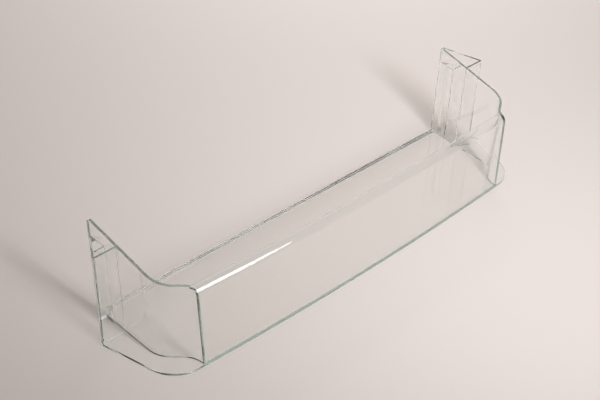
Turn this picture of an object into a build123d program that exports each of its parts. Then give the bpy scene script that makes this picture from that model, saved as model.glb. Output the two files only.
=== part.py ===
"""Door shelf of a refrigerator: one clear injection moulding.

A tray with a bowed front wall and a rolled front rim. Its end walls run inwards in an S-curve to the front
corners, and outside each of them is a hook pocket with a vertical groove that drops over a lug of the door.
X runs along the shelf, the front faces -Y and Z is up. Sizes are in millimetres. The shelf is drawn with
Y = 0 at its front corners, then moved so that the origin is at the middle of its box, on its underside.
"""
from build123d import *
from math import cos, degrees, radians, sin, tan
import os

# Plan sizes
tray_width = 400.0           # outside of the end walls at their back edge, at the floor
pocket_width = 20.0          # how far each hook pocket stands out from the back edge of its end wall
depth = 102.4                # from the front corners to the back edge of the end walls
back_setback = 1.2           # how far the floor ends before the back edge of the end walls
front_bow = 4.6              # how far the middle of the front stands before its corners

# Walls
wall = 2.2                   # floor, front wall and end walls
pocket_wall = 1.5            # rib and cheek of the hook pockets, and the walls of the groove
front_lean = 2.1             # degrees that the front wall leans back
end_draft = 0.6              # degrees that the end walls lean outwards

# Heights
front_height = 76.5          # top of the rolled front rim
back_height = 95.0           # top of the end walls at their back edge
lip_rise = 3.0               # upstand along the back edge, above the floor

# Rolled rim of the front wall
roll_bend = 4.3              # inner bend radius
roll_overhang = 6.2          # from the inner face of the wall to the free edge of the rim

# S-curve of the end walls in plan, at the floor and at the top, where it tightens towards the front
floor_step = 25.0            # how far the front corner lies inside the back edge
floor_sweep = 47.5           # degrees of the slanted run from the Y direction
floor_front_bend = 22.0      # radius of the bend at the front corner
top_step = 23.5
top_sweep = 62.5
top_front_bend = 6.0
back_bend = 24.5             # radius of the bend into the back run
back_splay = 2.2             # degrees of the back run from the Y direction

# Flange of the floor, outside the end walls
flange_front = 2.8           # straight front edge beside the front corner
flange_slant = 15.5          # degrees of its side edge from the Y direction

# Hook pocket outside each end wall
pocket_depth = 33.5          # from the front face of its rib to the back edge
pocket_back_width = 2.2      # blunt back edge, beyond the end wall at the floor
groove_inset = 12.2          # from the back edge to the middle of the lug groove
groove_width = 9.6
groove_drop = 16.5           # from the top of the back edge down to the underside of the groove's roof

# Edge rounding
foot_fillet = 0.4            # where the floor meets the front wall and the end walls

# Worked out from the sizes above
half_tray = tray_width / 2
half_front = half_tray - floor_step
half_overall = half_tray + pocket_width
floor_back = depth - back_setback
bow_radius = (half_front**2 + front_bow**2) / (2 * front_bow)
bow_axis = Axis((0, bow_radius - front_bow, 0), (0, 0, 1))
roll_start = front_height * tan(radians(front_lean))
roll_edge = roll_start + wall + roll_overhang
rib_front = depth - pocket_depth
flange_corner = half_overall - rib_front * tan(radians(flange_slant))
flange_radius = (flange_corner - half_front - flange_front) / tan(radians(45 - flange_slant / 2))
pocket_back = half_tray + pocket_back_width
groove_center = depth - groove_inset
groove_height = back_height - groove_drop
lip_round = 0.45 * min(wall, lip_rise)
rim_round = 0.4 * wall
clear = 10.0                 # how far a trimming body runs past the shelf
top_level = back_height + clear


def lean_at(z):
    """How far the end walls stand further out at a height than at the floor."""
    return z * tan(radians(end_draft))


def end_line(z, step, sweep, front_bend, inset):
    """Plan line of the right end wall at a height, inset from its outer face, from the front to the back."""
    slant, splay = radians(sweep), radians(back_splay)
    side = half_tray + lean_at(z)
    front = side - step
    first = floor_front_bend * tan(radians(floor_sweep) / 2)
    run = (step - (depth - first) * tan(splay)) / (tan(slant) - tan(splay))
    mean = (slant + splay) / 2
    shift = inset / cos((slant - splay) / 2)
    return FilletPolyline(
        (front - inset, -clear),
        (front - inset, first + inset * tan(slant / 2)),
        (front + run * tan(slant) - shift * cos(mean), first + run + shift * sin(mean)),
        (side + clear * tan(splay) - inset / cos(splay), depth + clear),
        radius=[front_bend + inset, back_bend - inset],
    )


def plan_at(z, step, sweep, front_bend, inset):
    """Face at a height that fills all to the left of the right end wall's plan line."""
    far = -half_overall - clear
    with BuildSketch(Plane.XY.offset(z)) as plan:
        with BuildLine():
            line = end_line(z, step, sweep, front_bend, inset)
            Polyline(line @ 1, (far, depth + clear), (far, -clear), line @ 0)
        make_face()
    return plan.sketch


def between_ends(inset):
    """Body between the two end walls, inset from their outer faces."""
    floor_plan = plan_at(0, floor_step, floor_sweep, floor_front_bend, inset)
    top_plan = plan_at(top_level, top_step, top_sweep, top_front_bend, inset)
    right = loft([floor_plan.face(), top_plan.face()], ruled=True)
    return right & mirror(right, about=Plane.YZ)


def bowed(section):
    """Sweeps a section, drawn in the YZ plane with Y = 0 at the front, along the bow of the front."""
    half_angle = degrees(half_overall / (bow_radius - 2 * depth))
    start = (Pos(0, -front_bow, 0) * section).rotate(bow_axis, -half_angle)
    return revolve(start, bow_axis, 2 * half_angle)


def front_outside():
    """Body behind the outer face of the front wall and below the top of its rolled rim."""
    with BuildSketch(Plane.YZ) as section:
        with BuildLine():
            outer = FilletPolyline(
                (0, 0),
                (roll_start, front_height),
                (roll_edge, front_height),
                radius=roll_bend + wall,
            )
            Polyline(outer @ 1, (roll_edge, top_level), (2 * depth, top_level), (2 * depth, 0), (0, 0))
        make_face()
    return bowed(section.sketch)


def front_inside():
    """Body behind the inner face of the front wall, above the floor and round the free edge of the rim."""
    skew = tan(radians(front_lean))
    under_rim = front_height - wall
    round_start = roll_edge - rim_round
    with BuildSketch(Plane.YZ) as section:
        with BuildLine():
            inner = FilletPolyline(
                (wall + wall * skew, wall),
                (wall + under_rim * skew, under_rim),
                (round_start, under_rim),
                radius=roll_bend,
            )
            lower = CenterArc((round_start, under_rim + rim_round), rim_round, -90, 90)
            upper = CenterArc((round_start, front_height - rim_round), rim_round, 0, 90)
            Line(lower @ 1, upper @ 0)
            Polyline(
                (round_start, front_height),
                (round_start, top_level),
                (2 * depth, top_level),
                (2 * depth, wall),
                inner @ 0,
            )
        make_face()
    return bowed(section.sketch)


def end_outline():
    """Body within the shelf's outline seen from the end: its top edge rises to the back, which is flat."""
    with BuildSketch(Plane.YZ) as outline:
        with BuildLine():
            Polyline(
                (-clear, 0),
                (-clear, front_height),
                (roll_edge, front_height),
                (depth, back_height),
                (depth, 0),
                close=True,
            )
        make_face()
    return extrude(outline.sketch, half_overall + clear, both=True)


def inside_space():
    """Room between the walls of the tray, above the floor and rounded along it."""
    room = between_ends(wall) & front_inside()
    feet = room.faces().sort_by(Axis.Z)[0].edges().sort_by(Axis.Y)[:-1]
    return fillet(feet, foot_fillet)


def open_back():
    """Room between the end walls, behind the back edge of the floor."""
    with BuildSketch() as plan:
        with Locations((0, floor_back)):
            Rectangle(tray_width, depth, align=(Align.CENTER, Align.MIN))
    return extrude(plan.sketch, top_level) & between_ends(wall)


def back_lip():
    """Low upstand with a rounded top along the back edge of the floor, with the strip of floor before it."""
    front = floor_back - wall
    strip_front = front - 2 * wall
    top = wall + lip_rise
    with BuildSketch(Plane.YZ) as section:
        with BuildLine():
            upper = FilletPolyline(
                (floor_back, 0),
                (floor_back, top),
                (front, top),
                (front, wall),
                (strip_front, wall),
                radius=lip_round,
            )
            Polyline(upper @ 1, (strip_front, 0), (floor_back, 0))
        make_face()
    return extrude(section.sketch, half_tray - wall / 2, both=True)


def tray():
    """Floor with its back lip, front wall with its rolled rim, and end walls."""
    outside = between_ends(0) & front_outside() & end_outline()
    return outside - inside_space() - open_back() + back_lip()


def flange():
    """Floor plate that reaches past the end walls. Its front edge lies within the front wall."""
    edge = wall / 2
    front = half_front - edge
    with BuildSketch() as plan:
        with BuildLine():
            ThreePointArc((-front, edge), (0, edge - front_bow), (front, edge))
            right = Polyline(
                (front, edge),
                (front, 0),
                (flange_corner, 0),
                (half_overall, rib_front),
                (half_overall, rib_front + pocket_wall),
                (pocket_back, depth),
                (pocket_back, floor_back),
                (0, floor_back),
            )
            mirror(right, about=Plane.YZ)
        make_face()
        corners = plan.vertices().filter_by(lambda v: abs(abs(v.X) - flange_corner) < 0.01)
        fillet(corners, flange_radius)
    return extrude(plan.sketch, wall)


def groove_space():
    """Room for the lug of the door at the right end: open below and outwards, closed above."""
    with BuildSketch() as plan:
        with Locations((half_front, groove_center)):
            Rectangle(half_overall, groove_width, align=(Align.MIN, Align.CENTER))
    return Pos(0, 0, -clear) * extrude(plan.sketch, groove_height + clear)


def hook_pocket():
    """Rib, cheek and groove walls outside the right end wall, open above."""
    with BuildSketch() as outline:
        with BuildLine():
            Polyline(
                (half_front, rib_front),
                (half_overall, rib_front),
                (half_overall, rib_front + pocket_wall),
                (pocket_back, depth),
                (half_front, depth),
                close=True,
            )
        make_face()
    with BuildSketch() as groove_block:
        with Locations((half_front, groove_center - groove_width / 2 - pocket_wall)):
            Rectangle(half_overall, depth, align=(Align.MIN, Align.MIN))
        add(outline.sketch, mode=Mode.INTERSECT)
    hollow = offset(outline.sketch, -pocket_wall)
    walls = extrude(outline.sketch, top_level) - Pos(0, 0, wall) * extrude(hollow, top_level)
    walls += extrude(groove_block.sketch, groove_height + pocket_wall)
    return (walls - groove_space() - between_ends(wall / 2)) & end_outline()


right_pocket = hook_pocket()
base = flange() - groove_space() - mirror(groove_space(), about=Plane.YZ)
shelf = tray() + base + right_pocket + mirror(right_pocket, about=Plane.YZ)
shelf = Pos(0, (front_bow - depth) / 2, 0) * shelf

os.makedirs("parts", exist_ok=True)
export_step(shelf, "parts/door_shelf.step")
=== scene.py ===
import math
import bmesh
import bpy
from mathutils import Matrix, Vector, geometry


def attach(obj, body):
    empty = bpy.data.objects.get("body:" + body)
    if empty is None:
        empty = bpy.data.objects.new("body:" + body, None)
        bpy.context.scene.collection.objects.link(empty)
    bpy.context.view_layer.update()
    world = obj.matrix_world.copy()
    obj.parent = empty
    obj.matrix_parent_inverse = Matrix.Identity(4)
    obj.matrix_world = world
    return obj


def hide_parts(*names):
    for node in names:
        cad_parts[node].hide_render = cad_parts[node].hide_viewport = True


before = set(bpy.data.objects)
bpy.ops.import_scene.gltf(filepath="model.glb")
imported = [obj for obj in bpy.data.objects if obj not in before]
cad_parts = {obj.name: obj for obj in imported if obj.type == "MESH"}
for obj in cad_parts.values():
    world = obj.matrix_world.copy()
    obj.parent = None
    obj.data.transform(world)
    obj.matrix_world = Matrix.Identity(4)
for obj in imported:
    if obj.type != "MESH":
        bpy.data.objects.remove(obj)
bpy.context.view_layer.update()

scene = bpy.context.scene
scene.view_settings.view_transform = "Standard"

# Light in the edges of the plastic is turned back many times before it leaves
BOUNCES = 32
scene.cycles.max_bounces = BOUNCES
scene.cycles.glossy_bounces = BOUNCES
scene.cycles.transmission_bounces = BOUNCES

# Camera, fitted to the photograph
CAM_TARGET = Vector((-0.00985, 0.02368, 0.03488))
CAM_DISTANCE = 0.93039
CAM_AZIMUTH = math.radians(-43.96)
CAM_ELEVATION = math.radians(37.48)
CAM_ROLL = math.radians(1.91)
CAM_LENS = 64.57

back = Vector((
    math.sin(CAM_AZIMUTH) * math.cos(CAM_ELEVATION),
    -math.cos(CAM_AZIMUTH) * math.cos(CAM_ELEVATION),
    math.sin(CAM_ELEVATION),
))
level = Vector((0, 0, 1)).cross(back).normalized()
rise = back.cross(level)
right = math.cos(CAM_ROLL) * level + math.sin(CAM_ROLL) * rise
up = back.cross(right)
cam_data = bpy.data.cameras.new("camera")
cam_data.lens = CAM_LENS
cam_data.sensor_width = 36.0
cam_data.clip_start = 0.01
camera = bpy.data.objects.new("camera", cam_data)
scene.collection.objects.link(camera)
turned = Matrix((right, up, back)).transposed().to_4x4()
camera.matrix_world = Matrix.Translation(CAM_TARGET + CAM_DISTANCE * back) @ turned
scene.camera = camera

# Sizes of the shelf, in millimetres and degrees, as its solid has them. Here Y is 0 at the front corners.
TRAY_WIDTH, POCKET_WIDTH, DEPTH = 400.0, 20.0, 102.4
BACK_SETBACK, FRONT_BOW = 1.2, 4.6
WALL, POCKET_WALL = 2.2, 1.5
FRONT_SKEW, END_SKEW = math.tan(math.radians(2.1)), math.tan(math.radians(0.6))
FRONT_HEIGHT, BACK_HEIGHT, LIP_RISE = 76.5, 95.0, 3.0
ROLL_BEND, ROLL_OVERHANG = 4.3, 6.2
FLOOR_STEP, FLOOR_SWEEP, FLOOR_FRONT_BEND = 25.0, math.radians(47.5), 22.0
TOP_STEP, TOP_SWEEP, TOP_FRONT_BEND = 23.5, math.radians(62.5), 6.0
BACK_BEND, BACK_SPLAY = 24.5, math.radians(2.2)
FLANGE_FRONT, FLANGE_SLANT = 2.8, math.radians(15.5)
POCKET_DEPTH, POCKET_BACK_WIDTH = 33.5, 2.2
GROOVE_INSET, GROOVE_WIDTH, GROOVE_DROP = 12.2, 9.6, 16.5
FOOT, RIM_ROUND = 0.4, 0.4 * WALL
TOP_LEVEL = BACK_HEIGHT + 10.0
MIDDLE = (DEPTH - FRONT_BOW) / 2

# How finely the shelf is drawn: points to a bend, to half of the front, and to an end wall
BEND_STEPS, EDGE_STEPS, UNDER_STEPS, FOOT_STEPS = 16, 8, 10, 6
LIP_STEPS, COVE_STEPS, FLANGE_STEPS, PLAN_STEPS = 2, 4, 28, 14
STATIONS, ROW_STEP = 40, 9.0
LATTICE_RISE, LATTICE_GAP, LATTICE_RUNS = 6.0, 1.2, (16.0, 32.0)
FILL_SQUEEZE = 0.3           # heights are scaled by this while an end wall is cut into triangles
SAME = 1e-4                  # points this close to each other are one
NEAR, NEAR_INNER = 0.4, 0.3  # points of a line this close to its ends are left out, on both faces of a wall
SETTLE = 6                   # rounds in which a point settles where two surfaces meet
HALVINGS = 44                # rounds in which a point of a plan line is found by its Y

half_tray = TRAY_WIDTH / 2
half_front = half_tray - FLOOR_STEP
half_overall = half_tray + POCKET_WIDTH
floor_back = DEPTH - BACK_SETBACK
bow_radius = (half_front**2 + FRONT_BOW**2) / (2 * FRONT_BOW)
roll_start = FRONT_HEIGHT * FRONT_SKEW
roll_edge = roll_start + WALL + ROLL_OVERHANG
under_rim = FRONT_HEIGHT - WALL
rib_front = DEPTH - POCKET_DEPTH
rib_back = rib_front + POCKET_WALL
pocket_back = half_tray + POCKET_BACK_WIDTH
cheek_slope = (half_overall - pocket_back) / (DEPTH - rib_back)
groove_front = DEPTH - GROOVE_INSET - GROOVE_WIDTH / 2
groove_back = groove_front + GROOVE_WIDTH
groove_top = BACK_HEIGHT - GROOVE_DROP
block_front = groove_front - POCKET_WALL
block_top = groove_top + POCKET_WALL
tip_y = DEPTH - POCKET_WALL
bend_stations = [i / PLAN_STEPS for i in range(PLAN_STEPS + 1)]
plan_stations = bend_stations + [1.25, 1.5, 1.75] + [2 + s for s in bend_stations]


def rim_height(y):
    """Height of the top edge of the end walls and pockets."""
    slope = (BACK_HEIGHT - FRONT_HEIGHT) / (DEPTH - roll_edge)
    return FRONT_HEIGHT + max(0.0, y - roll_edge) * slope


def bow_y(y, x):
    """Y of a point of the front's section, once it is swept along the bow to x."""
    return bow_radius - FRONT_BOW - math.sqrt((bow_radius - y) ** 2 - x * x)


def plan_at(s, inset, step, sweep, front_bend, lean):
    """Point of an end wall's plan line.

    s is 0 to 1 on the front bend, 1 to 2 on the slant and 2 to 3 on the back bend.
    """
    front = half_tray + lean - step
    first = FLOOR_FRONT_BEND * math.tan(FLOOR_SWEEP / 2)
    splay = math.tan(BACK_SPLAY)
    run = (step - (DEPTH - first) * splay) / (math.tan(sweep) - splay)
    mean, turn = (sweep + BACK_SPLAY) / 2, (sweep - BACK_SPLAY) / 2
    shift = inset / math.cos(turn)
    front_radius, back_radius = front_bend + inset, BACK_BEND - inset
    start = first + (inset - front_radius) * math.tan(sweep / 2)
    a = sweep * min(s, 1.0)
    near = (front - inset + front_radius * (1 - math.cos(a)), start + front_radius * math.sin(a))
    b = BACK_SPLAY + 2 * turn * (3.0 - max(s, 2.0))
    tangent = back_radius * math.tan(turn)
    far = (front + run * math.tan(sweep) - shift * math.cos(mean) + tangent * math.sin(BACK_SPLAY)
           + back_radius * (math.cos(b) - math.cos(BACK_SPLAY)),
           first + run + shift * math.sin(mean) + tangent * math.cos(BACK_SPLAY)
           - back_radius * (math.sin(b) - math.sin(BACK_SPLAY)))
    t = min(max(s - 1.0, 0.0), 1.0)
    return tuple(n + (f - n) * t for n, f in zip(near, far))


def end_point(s, z, inset):
    """Plan point of an end wall at a height, on the straight line between its floor and top plans."""
    low = plan_at(s, inset, FLOOR_STEP, FLOOR_SWEEP, FLOOR_FRONT_BEND, 0.0)
    high = plan_at(s, inset, TOP_STEP, TOP_SWEEP, TOP_FRONT_BEND, TOP_LEVEL * END_SKEW)
    t = z / TOP_LEVEL
    return tuple(a + (b - a) * t for a, b in zip(low, high))


def wall_x(y, z, inset):
    """X of an end wall, inset from its outer face, at a point seen from the end."""
    start, end = end_point(0, z, inset), end_point(3, z, inset)
    if y <= start[1]:
        return start[0]
    if y >= end[1]:
        return end[0] + (y - end[1]) * math.tan(BACK_SPLAY)
    low, high = 0.0, 3.0
    for _ in range(HALVINGS):
        mid = (low + high) / 2
        low, high = (mid, high) if end_point(mid, z, inset)[1] < y else (low, mid)
    return end_point(low, z, inset)[0]


def wall_normal(y, z, inset):
    """Normal of an end wall to the outside at a point seen from the end."""
    step_y, step_z = 0.05, 0.5
    dy = (wall_x(y + step_y, z, inset) - wall_x(y - step_y, z, inset)) / (2 * step_y)
    dz = (wall_x(y, z + step_z, inset) - wall_x(y, z - step_z, inset)) / (2 * step_z)
    return Vector((1.0, -dy, -dz)).normalized()


def out(y, z):
    """Point of the end wall's outer face."""
    return (wall_x(y, z, 0.0), y, z)


def inn(y, z):
    """Point of the end wall's inner face."""
    return (wall_x(y, z, WALL), y, z)


def cheek(y, z, depth=0.0):
    """Point of the pocket's cheek, at a depth below its outer face."""
    x = half_overall - (y - rib_back) * cheek_slope - depth * math.sqrt(1 + cheek_slope**2)
    return (x, y, z)


def inside(y, z):
    """Point of the inner face of the pocket's cheek."""
    return cheek(y, z, POCKET_WALL)


def foot_inset(z):
    """How far the fillet at the foot of a wall stands out from it at a height."""
    return FOOT - math.sqrt(max(0.0, FOOT**2 - max(0.0, WALL + FOOT - z) ** 2))


def rounded(points, radii, steps):
    """Line through points with its corners rounded."""
    line = [Vector(points[0])]
    for a, b, c, r, n in zip(points, points[1:], points[2:], radii, steps):
        a, b, c = Vector(a), Vector(b), Vector(c)
        u, v = (a - b).normalized(), (c - b).normalized()
        half = u.angle(v) / 2
        centre = b + (u + v).normalized() * (r / math.sin(half))
        arm = b + u * (r / math.tan(half)) - centre
        turn = math.copysign(math.pi - 2 * half, (b - a).cross(c - b))
        for i in range(n + 1):
            spin = Matrix.Rotation(turn * i / n, 2)
            p = centre + spin @ arm
            if (p - line[-1]).length > SAME:
                line.append(p)
    if (Vector(points[-1]) - line[-1]).length > SAME:
        line.append(Vector(points[-1]))
    return line


def divided(line, step):
    """The same line with points added on its long runs."""
    points = [line[0]]
    for a, b in zip(line, line[1:]):
        n = max(1, round((b - a).length / step))
        points += [a.lerp(b, i / n) for i in range(1, n + 1)]
    return points


def within(p, loop, squeeze):
    """True if a point is inside a closed loop."""
    hit = False
    for (ax, ay), (bx, by) in zip(loop, loop[1:] + loop[:1]):
        ay, by = ay * squeeze, by * squeeze
        if (ay > p.y) != (by > p.y) and p.x < ax + (bx - ax) * (p.y - ay) / (by - ay):
            hit = not hit
    return hit


class Shell:
    """Faces of the right half of the shelf by patch: within a patch the surface is smooth."""

    def __init__(self):
        self.points, self.index, self.faces = [], {}, []

    def point(self, p):
        """Number of a point, which is shared by all faces that meet there."""
        key = tuple(round(c, 3) for c in p)
        if key not in self.index:
            self.index[key] = len(self.points)
            self.points.append(tuple(p))
        return self.index[key]

    def face(self, patch, points):
        """One face, less the points that fall together."""
        ids = [self.point(p) for p in points]
        ids = [a for a, b in zip(ids, ids[1:] + ids[:1]) if a != b]
        if len(ids) > 2:
            self.faces.append((patch, ids))

    def grid(self, patch, rows):
        """Four-sided faces between rows of points."""
        for low, high in zip(rows, rows[1:]):
            for i in range(len(low) - 1):
                self.face(patch, (low[i], low[i + 1], high[i + 1], high[i]))

    def fill(self, patch, loops, lift, inner=(), squeeze=1.0):
        """Triangles within closed loops, given in two coordinates and lifted to three."""
        flat, edges = [], []
        for loop in loops:
            first = len(flat)
            flat += loop
            edges += [(first + i, first + (i + 1) % len(loop)) for i in range(len(loop))]
        flat += inner
        asked = [Vector((p[0], p[1] * squeeze)) for p in flat]
        spots, _, triangles, origins, _, _ = geometry.delaunay_2d_cdt(asked, edges, [], 0, 1e-5)
        source = [flat[o[0]] if o else None for o in origins]
        for triangle in triangles:
            middle = sum((spots[i] for i in triangle), Vector((0, 0))) / len(triangle)
            if sum(within(middle, loop, squeeze) for loop in loops) % 2:
                self.face(patch, [lift(*source[i]) for i in triangle])


def front_section():
    """Section of the front wall: up its outer face, round the rolled rim and down to the floor.

    With it come the places in it where the bend ends, where the flat top ends and where the foot starts.
    """
    line = rounded(
        [(0, 0), (roll_start, FRONT_HEIGHT), (roll_edge, FRONT_HEIGHT), (roll_edge, under_rim),
         (WALL + under_rim * FRONT_SKEW, under_rim), (WALL + WALL * FRONT_SKEW, WALL), (4 * WALL, WALL)],
        [ROLL_BEND + WALL, RIM_ROUND, RIM_ROUND, ROLL_BEND, FOOT],
        [BEND_STEPS, EDGE_STEPS, EDGE_STEPS, UNDER_STEPS, FOOT_STEPS])[:-1]
    foot = len(line) - FOOT_STEPS - 1
    climb = divided([Vector((WALL * FRONT_SKEW, WALL)), line[1]], ROW_STEP)
    fall = divided([line[foot - 1], line[foot]], ROW_STEP)
    section = [line[0]] + climb + line[2:foot] + fall[1:] + line[foot + 1:]
    bend_end = BEND_STEPS + len(climb)
    return section, bend_end, bend_end + 1, len(section) - FOOT_STEPS - 1


def corner_x(p, inset, more):
    """X at which a point of the front's section, swept along the bow, meets an end wall."""
    x = half_front
    for _ in range(SETTLE):
        x = wall_x(bow_y(p.x, x), p.y, inset) - more
    return x


def at_height(z, inset, low, high):
    """Points of an end wall's plan line at a height, between two values of Y."""
    points = [(end_point(s, z, inset)[1], z) for s in plan_stations]
    return [p for p in points if low < p[0] < high]


def at_rim(inset, low, high):
    """Points of an end wall's top edge, between two values of Y."""
    points = []
    for s in plan_stations:
        z = FRONT_HEIGHT
        for _ in range(SETTLE):
            y = end_point(s, z, inset)[1]
            z = rim_height(y)
        points.append((y, z))
    return [p for p in points if low < p[0] < high]


def lattice(inset, loop):
    """Points on an end wall within a loop, in rows up the wall and clear of the loop's own points."""
    points = []
    for s, beyond in [(s, 0.0) for s in plan_stations] + [(3.0, run) for run in LATTICE_RUNS]:
        for k in range(1, int(BACK_HEIGHT / LATTICE_RISE) + 1):
            z = LATTICE_RISE * k
            y = end_point(s, z, inset)[1] + beyond
            gap = min((y - a) ** 2 + (z - b) ** 2 for a, b in loop)
            if within(Vector((y, z)), loop, 1.0) and gap > LATTICE_GAP**2:
                points.append((y, z))
    return points


def back_lip(shell, foot_z):
    """Low upstand along the back of the floor. Gives its ends on the end wall and on the foot of that wall.

    Its rounded edges have flat facets, and its cove has two even shades. Smooth ones as small as these break
    the highlight of a lamp up into specks.
    """
    front, top = floor_back - WALL, WALL + LIP_RISE
    radius = 0.45 * min(WALL, LIP_RISE)
    cove_top = WALL + radius

    def cove(z):
        return front - radius + math.sqrt(radius**2 - max(0.0, cove_top - z) ** 2)

    line = rounded([(floor_back, 0), (floor_back, top), (front, top), (front, cove_top)],
                   [radius, radius], [LIP_STEPS, LIP_STEPS])
    facets = len(line) - 1
    fall = (foot_z[0] - cove_top) / COVE_STEPS
    heights = [cove_top + fall * i for i in range(1, COVE_STEPS + 1)]
    line += [Vector((cove(z), z)) for z in heights]
    on_wall = [inn(*p) for p in line]
    on_foot = [(wall_x(cove(z), z, WALL) - foot_inset(z), cove(z), z) for z in foot_z]
    strips = [[(0.0, p[1], p[2]), p] for p in on_wall[:-1] + on_foot]
    for i, (high, low) in enumerate(zip(strips, strips[1:])):
        steep = high[0][2] - low[0][2] > high[0][1] - low[0][1]
        patch = f"lip_{i}" if i < facets else "cove_high" if steep else "cove_low"
        shell.grid(patch, [high, low])
    return on_wall, on_foot


def end_foot(shell, foot_z, front_column, inner_low, back_column):
    """Fillet at the foot of the end wall, from the front corner to the lip. Gives its columns."""
    columns = [front_column]
    for y, _ in inner_low:
        column = []
        for z in foot_z:
            n = wall_normal(y, z, WALL)
            away = Vector((n.x, n.y)).normalized() * foot_inset(z)
            column.append((wall_x(y, z, WALL) - away.x, y - away.y, z))
        columns.append(column)
    columns.append(back_column)
    shell.grid("end_foot", columns)
    return columns


def flange_edge(start):
    """Plan line of the flange's edge, from the front corner to the rib."""
    bend_x = half_overall - rib_front * math.tan(FLANGE_SLANT)
    radius = (bend_x - start) / math.tan(math.pi / 4 - FLANGE_SLANT / 2)
    return rounded([(start - 1, 0), (bend_x, 0), (half_overall, rib_front)], [radius], [FLANGE_STEPS])[1:]


def hook_pocket(shell):
    """Rib, cheek and groove walls outside the end wall. The rim's own face is made with the wall's."""
    rib_low, rib_high = rim_height(rib_front), rim_height(rib_back)
    tip_high = rim_height(tip_y)
    shell.face("rib_front", [
        out(rib_front, WALL), (half_overall, rib_front, WALL), (half_overall, rib_front, rib_low),
        out(rib_front, rib_low)])
    shell.face("rib_end", [
        (half_overall, rib_front, 0.0), cheek(rib_back, 0.0), cheek(rib_back, rib_high),
        (half_overall, rib_front, rib_low), (half_overall, rib_front, WALL)])
    shell.face("cheek_outside", [
        cheek(rib_back, 0.0), cheek(groove_front, 0.0), cheek(groove_front, groove_top),
        cheek(groove_back, groove_top), cheek(groove_back, 0.0), cheek(DEPTH, 0.0), cheek(DEPTH, BACK_HEIGHT),
        cheek(rib_back, rib_high)])
    shell.face("cheek_inside", [
        inside(rib_back, WALL), inside(block_front, WALL), inside(block_front, block_top),
        inside(tip_y, block_top), inside(tip_y, tip_high), inside(rib_back, rib_high)])
    shell.face("pocket_side", [
        out(rib_back, WALL), out(block_front, WALL), out(block_front, block_top), out(tip_y, block_top),
        out(tip_y, tip_high), out(rib_back, rib_high)])
    shell.face("groove_inside", [
        out(groove_front, 0.0), out(groove_back, 0.0), out(groove_back, groove_top),
        out(groove_front, groove_top)])
    for patch, y, low, high, near, far in (
        ("rib_back", rib_back, WALL, rib_high, out, inside),
        ("block_front", block_front, WALL, block_top, out, inside),
        ("pocket_tip", tip_y, block_top, tip_high, out, inside),
        ("groove_front", groove_front, 0.0, groove_top, out, cheek),
        ("groove_back", groove_back, 0.0, groove_top, out, cheek),
        ("back_edge", DEPTH, 0.0, BACK_HEIGHT, inn, cheek),
    ):
        shell.face(patch, [near(y, low), far(y, low), far(y, high), near(y, high)])
    for patch, z, front, end, far in (
        ("pocket_floor", WALL, rib_back, block_front, inside),
        ("block_top", block_top, block_front, tip_y, inside),
        ("groove_roof", groove_top, groove_front, groove_back, cheek),
    ):
        shell.face(patch, [out(front, z), far(front, z), far(end, z), out(end, z)])


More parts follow.
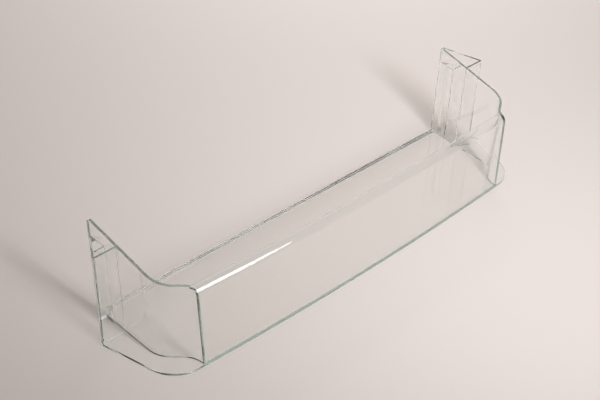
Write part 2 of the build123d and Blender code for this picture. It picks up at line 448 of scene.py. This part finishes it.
def build_half():
    """The right half of the shelf."""
    shell = Shell()

    # Front wall with its rolled rim
    section, bend_end, top_end, foot_start = front_section()
    foot_z = [p.y for p in section[foot_start:]]
    rows = []
    for k, p in enumerate(section):
        x_in = corner_x(p, WALL, foot_inset(p.y) if k >= foot_start else 0.0)
        xs = [x_in * i / STATIONS for i in range(STATIONS + 1)]
        if k <= bend_end:
            xs.append(corner_x(p, 0.0, 0.0))
        rows.append([(x, bow_y(p.x, x), p.y) for x in xs])
    shell.grid("front", rows[:bend_end + 1])
    shell.grid("front", [rows[bend_end][:-1]] + rows[bend_end + 1:])
    outer_corner = [row[-1] for row in rows[:bend_end + 1]]
    inner_corner = [row[-1] for row in rows[top_end:foot_start + 1]]
    foot_corner = [row[-1] for row in rows[foot_start:]]

    # Lines of the end wall, seen from the end: its top edge on both sides of the kink, and its foot
    kink = (roll_edge, FRONT_HEIGHT)
    outer_near = at_rim(0.0, outer_corner[-1][1] + NEAR, roll_edge - NEAR)
    outer_far = at_rim(0.0, roll_edge + NEAR, rib_front - NEAR) + [(rib_front, rim_height(rib_front))]
    inner_near = at_rim(WALL, inner_corner[0][1] + NEAR_INNER, roll_edge - NEAR_INNER)
    inner_far = at_rim(WALL, roll_edge + NEAR, DEPTH - NEAR) + [(DEPTH, BACK_HEIGHT)]
    outer_low = at_height(WALL, 0.0, outer_corner[1][1] + 2 * NEAR, rib_front - NEAR) + [(rib_front, WALL)]
    inner_low = at_height(foot_z[0], WALL, foot_corner[-1][1] + 2 * NEAR_INNER, floor_back - 2 * WALL)

    # Outer face of the end wall to the rib, back lip, and inner face of the end wall with its foot
    loop = [p[1:] for p in outer_corner[1:]] + outer_near + [kink] + outer_far + outer_low[::-1]
    shell.fill("end_outside", [loop], out, lattice(0.0, loop), FILL_SQUEEZE)
    lip_on_wall, lip_on_foot = back_lip(shell, foot_z)
    loop = [p[1:] for p in inner_corner[::-1]] + inner_near + [kink] + inner_far + [(DEPTH, 0)]
    loop += [p[1:] for p in lip_on_wall] + inner_low[::-1]
    shell.fill("end_inside", [loop], inn, lattice(WALL, loop), FILL_SQUEEZE)
    columns = end_foot(shell, foot_z, foot_corner, inner_low, lip_on_foot)

    # Floor, flange and underside
    shell.face("floor", rows[-1] + [c[-1] for c in columns[1:]] + [(0.0, lip_on_foot[-1][1], WALL)])
    edge = flange_edge(outer_corner[0][0] + FLANGE_FRONT)
    low_edge = [outer_corner[0]] + [(p.x, p.y, 0.0) for p in edge]
    high_edge = [outer_corner[1]] + [(p.x, p.y, WALL) for p in edge]
    shell.grid("flange_side", [low_edge, high_edge])
    shell.face("flange_top", high_edge + [out(*p) for p in outer_low[::-1]])
    shell.face("underside", rows[0] + low_edge[1:] + [
        cheek(rib_back, 0.0), cheek(groove_front, 0.0), out(groove_front, 0.0), out(groove_back, 0.0),
        cheek(groove_back, 0.0), cheek(DEPTH, 0.0), inn(DEPTH, 0.0), inn(floor_back, 0.0),
        (0.0, floor_back, 0.0)])

    # Top edges: flat beside the rolled rim, then rising to the back, with the opening of the pocket
    beside = rows[bend_end][-2:] + [out(*p) for p in outer_near] + [out(*kink), inn(*kink)]
    beside += [inn(*p) for p in inner_near[::-1]] + [inner_corner[0]]
    shell.face("front", beside)
    rim = [out(*kink)] + [out(*p) for p in outer_far] + [(half_overall, rib_front), cheek(rib_back, 0.0)]
    rim += [cheek(DEPTH, 0.0)] + [inn(*p) for p in inner_far[::-1]] + [inn(*kink)]
    opening = [out(rib_back, rim_height(rib_back)), inside(rib_back, 0.0), inside(tip_y, 0.0)]
    opening += [out(tip_y, rim_height(tip_y))]
    loops = [[tuple(p[:2]) for p in line] for line in (rim, opening)]
    shell.fill("rim", loops, lambda x, y: (x, y, rim_height(y)))

    hook_pocket(shell)
    return shell


def shelf_mesh():
    """Both halves as one closed mesh, with the normals of its smooth patches."""
    half = build_half()
    names = sorted({patch for patch, _ in half.faces})
    bm = bmesh.new()
    tag = bm.faces.layers.int.new("patch")
    for side in (1, -1):
        verts = [bm.verts.new((side * x / 1000, (y - MIDDLE) / 1000, z / 1000)) for x, y, z in half.points]
        for patch, ids in half.faces:
            face = bm.faces.new([verts[i] for i in ids])
            face.smooth = True
            face[tag] = names.index(patch)
    bmesh.ops.remove_doubles(bm, verts=bm.verts, dist=2e-6)
    bmesh.ops.recalc_face_normals(bm, faces=bm.faces)

    # Normal of each patch at each of its points: true on the end walls, else the mean of the faces. An even
    # patch has one normal for all of its points.
    inset = {names.index("end_outside"): 0.0, names.index("end_inside"): WALL}
    even = {names.index("cove_high"), names.index("cove_low")}

    def spot(loop, patch):
        return (patch, None if patch in even else loop.vert)

    sums = {}
    for face in bm.faces:
        patch = face[tag]
        for loop in face.loops:
            key = spot(loop, patch)
            if patch not in inset:
                sums[key] = sums.get(key, Vector()) + loop.calc_angle() * face.normal
            elif key not in sums:
                x, y, z = loop.vert.co * 1000
                n = wall_normal(y + MIDDLE, z, inset[patch]) * (1 if inset[patch] == 0 else -1)
                sums[key] = Vector((math.copysign(1, x) * n.x, n.y, n.z))
    normals = [sums[spot(loop, face[tag])].normalized() for face in bm.faces for loop in face.loops]
    mesh = bpy.data.meshes.new("shelf")
    bm.to_mesh(mesh)
    bm.free()
    mesh.normals_split_custom_set(normals)
    return mesh


def node(tree, kind, inputs=None, **settings):
    """New shader node. Each input named is set to a value or linked to another node's output."""
    made = tree.nodes.new("ShaderNode" + kind)
    for name, value in settings.items():
        setattr(made, name, value)
    for name, value in (inputs or {}).items():
        if isinstance(value, bpy.types.NodeSocket):
            tree.links.new(value, made.inputs[name])
        else:
            made.inputs[name].default_value = value
    return made


def math_node(tree, operation, first, second):
    """Output of a new maths node."""
    return node(tree, "Math", {0: first, 1: second}, operation=operation).outputs[0]


def mixed(tree, factor, first, second):
    """Output of a new Mix Shader node."""
    return node(tree, "MixShader", {0: factor, 1: first, 2: second}).outputs["Shader"]


def emptied(block):
    """Node tree of a new material or world, with its default nodes taken out."""
    block.use_nodes = True
    block.node_tree.nodes.clear()
    return block.node_tree


# Clear plastic: the rolled rim lies above and before these, in metres, and lets less light through
RIM_LOW, RIM_BACK = 0.068, -0.030
WALL_SHADE, RIM_SHADE = (0.994, 0.988, 0.980, 1), (0.86, 0.85, 0.84, 1)


def clear_plastic():
    """Clear plastic with a green tint that shows in its edges."""
    mat = bpy.data.materials.new("clear_plastic")
    tree = emptied(mat)
    place = node(tree, "TexCoord").outputs["Object"]

    # The polish of the mould varies, and the melt left faint waves along the shelf
    polish = node(tree, "TexNoise", {"Vector": place, "Scale": 24.0, "Detail": 3.0})
    gloss = node(tree, "MapRange", {
        "Value": polish.outputs["Fac"], "From Min": 0.35, "From Max": 0.70, "To Min": 0.015, "To Max": 0.045})
    stretch = node(tree, "Mapping", {"Vector": place, "Scale": (14.0, 40.0, 40.0)})
    melt = node(tree, "TexNoise", {"Vector": stretch.outputs["Vector"], "Scale": 1.0, "Detail": 1.0})
    waves = node(tree, "Bump", {"Height": melt.outputs["Fac"], "Strength": 0.12, "Distance": 0.0004})
    plastic = node(tree, "BsdfPrincipled", {
        "Base Color": (1, 1, 1, 1), "IOR": 1.57, "Transmission Weight": 1.0,
        "Roughness": gloss.outputs["Result"], "Normal": waves.outputs["Normal"]})
    tint = node(tree, "VolumeAbsorption", {"Color": (0.58, 0.72, 0.64, 1), "Density": 15.0})

    # Light from the floor passes straight through the walls. Light from the lamps does too, but less of it
    # where it grazes them and in the bend of the rolled rim, which spreads it.
    open_air = node(tree, "BsdfTransparent", {"Color": (0.985, 0.99, 0.985, 1)})
    axes = node(tree, "SeparateXYZ", {"Vector": place}).outputs
    high = math_node(tree, "GREATER_THAN", axes["Z"], RIM_LOW)
    forward = math_node(tree, "LESS_THAN", axes["Y"], RIM_BACK)
    rim = math_node(tree, "MULTIPLY", high, forward)
    walls = node(tree, "Mix", {"Factor": rim, "A": WALL_SHADE, "B": RIM_SHADE}, data_type="RGBA")
    slant = node(tree, "LayerWeight", {"Blend": 0.5})
    grazing = math_node(tree, "POWER", slant.outputs["Facing"], 4.0)
    held = node(tree, "Mix", {"Factor": grazing, "A": walls.outputs["Result"], "B": (0, 0, 0, 1)},
                data_type="RGBA")
    shade = node(tree, "BsdfTransparent", {"Color": held.outputs["Result"]})
    path = node(tree, "LightPath").outputs
    soft = mixed(tree, path["Is Diffuse Ray"], plastic.outputs["BSDF"], open_air.outputs["BSDF"])
    surface = mixed(tree, path["Is Shadow Ray"], soft, shade.outputs["BSDF"])
    node(tree, "OutputMaterial", {"Surface": surface, "Volume": tint.outputs["Volume"]})
    return mat


shelf = bpy.data.objects.new("shelf", shelf_mesh())
scene.collection.objects.link(shelf)
shelf.data.materials.append(clear_plastic())
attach(shelf, "root")
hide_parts("door_shelf")

# Stage, in metres: the middle of the floor that the main view shows, and where it turns plain around that
FLOOR_SIZE, FLOOR_DROP = 12, 0.0003
VIEW_MIDDLE, PLAIN_FROM, PLAIN_AT = (0.13, 0.16, 0), 0.44, 0.64
FLOOR_COLOUR, PLAIN_COLOUR = (0.80, 0.725, 0.688, 1), (0.71, 0.645, 0.613, 1)


def floor_material():
    """Pale table top, lit around the shelf and plain pale further out."""
    mat = bpy.data.materials.new("floor")
    tree = emptied(mat)
    lit = node(tree, "BsdfPrincipled", {
        "Base Color": FLOOR_COLOUR, "Roughness": 0.9, "Specular IOR Level": 0.1})
    plain = node(tree, "Emission", {"Color": PLAIN_COLOUR})
    place = node(tree, "NewGeometry").outputs["Position"]
    away = node(tree, "VectorMath", {0: place, 1: VIEW_MIDDLE}, operation="DISTANCE")
    fade = node(tree, "MapRange", {
        "Value": away.outputs["Value"], "From Min": PLAIN_FROM, "From Max": PLAIN_AT},
        interpolation_type="SMOOTHSTEP")
    path = node(tree, "LightPath").outputs
    mirrored = math_node(tree, "MAXIMUM", path["Is Glossy Ray"], path["Is Transmission Ray"])
    seen = math_node(tree, "MAXIMUM", path["Is Camera Ray"], mirrored)
    far = math_node(tree, "MULTIPLY", seen, fade.outputs["Result"])
    surface = mixed(tree, far, lit.outputs["BSDF"], plain.outputs["Emission"])
    node(tree, "OutputMaterial", {"Surface": surface})
    return mat


bpy.ops.mesh.primitive_plane_add(size=FLOOR_SIZE, location=(0, 0, -FLOOR_DROP))
floor = bpy.context.object
floor.name = "floor"
floor.data.materials.append(floor_material())


def area(name, place, aim, size, power, spread=180):
    """Oval lamp that the camera doesn't see. The spread is in degrees."""
    light = bpy.data.lights.new(name, "AREA")
    light.energy = power
    light.shape = "ELLIPSE"
    light.size, light.size_y = size
    light.spread = math.radians(spread)
    lamp = bpy.data.objects.new(name, light)
    scene.collection.objects.link(lamp)
    lamp.location = place
    lamp.rotation_euler = (Vector(aim) - Vector(place)).to_track_quat("-Z", "Y").to_euler()
    lamp.visible_camera = False
    return lamp


# A reflector to the right of the camera and a bright wall behind the shelf light the floor. The softbox only
# shows as the highlight of the plastic.
reflector = area("reflector", place=(-0.12, -0.73, 0.59), aim=(0.39, 0.51, 0.27), size=(0.22, 0.22),
                 power=4.95, spread=102)
bright_wall = area("bright_wall", place=(0.80, 0.60, 0.78), aim=(0.86, 1.05, 0), size=(0.45, 0.45), power=7.5)
for lamp in (reflector, bright_wall):
    lamp.visible_glossy = lamp.visible_transmission = False
softbox = area("softbox", place=(0.19, -0.70, 0.67), aim=(0, 0, 0.05), size=(0.42, 0.66), power=7.0)
softbox.visible_diffuse = softbox.visible_transmission = False

# Strength of the room for lighting, where it is mirrored to the front and to the back, and where it is seen
ROOM_COLOUR = (1, 0.97, 0.96, 1)
ROOM_LIGHT, ROOM_FRONT, ROOM_BACK, ROOM_SEEN = 0.25, 0.1, 0.7, 0.7


def pale_room():
    """Pale room that is dim for lighting. In reflections it is darker towards the front."""
    world = bpy.data.worlds.new("room")
    tree = emptied(world)
    way = node(tree, "TexCoord").outputs["Generated"]
    axes = node(tree, "SeparateXYZ", {"Vector": way}).outputs
    depth = node(tree, "MapRange", {
        "Value": axes["Y"], "From Min": -0.3, "From Max": 0.3, "To Min": ROOM_FRONT, "To Max": ROOM_BACK})
    light, mirrored, shown = (
        node(tree, "Background", {"Color": ROOM_COLOUR, "Strength": strength}).outputs["Background"]
        for strength in (ROOM_LIGHT, depth.outputs["Result"], ROOM_SEEN))
    path = node(tree, "LightPath").outputs
    seen = math_node(tree, "MAXIMUM", path["Is Camera Ray"], path["Is Transmission Ray"])
    around = mixed(tree, path["Is Glossy Ray"], light, mirrored)
    node(tree, "OutputWorld", {"Surface": mixed(tree, seen, around, shown)})
    return world


scene.world = pale_room()
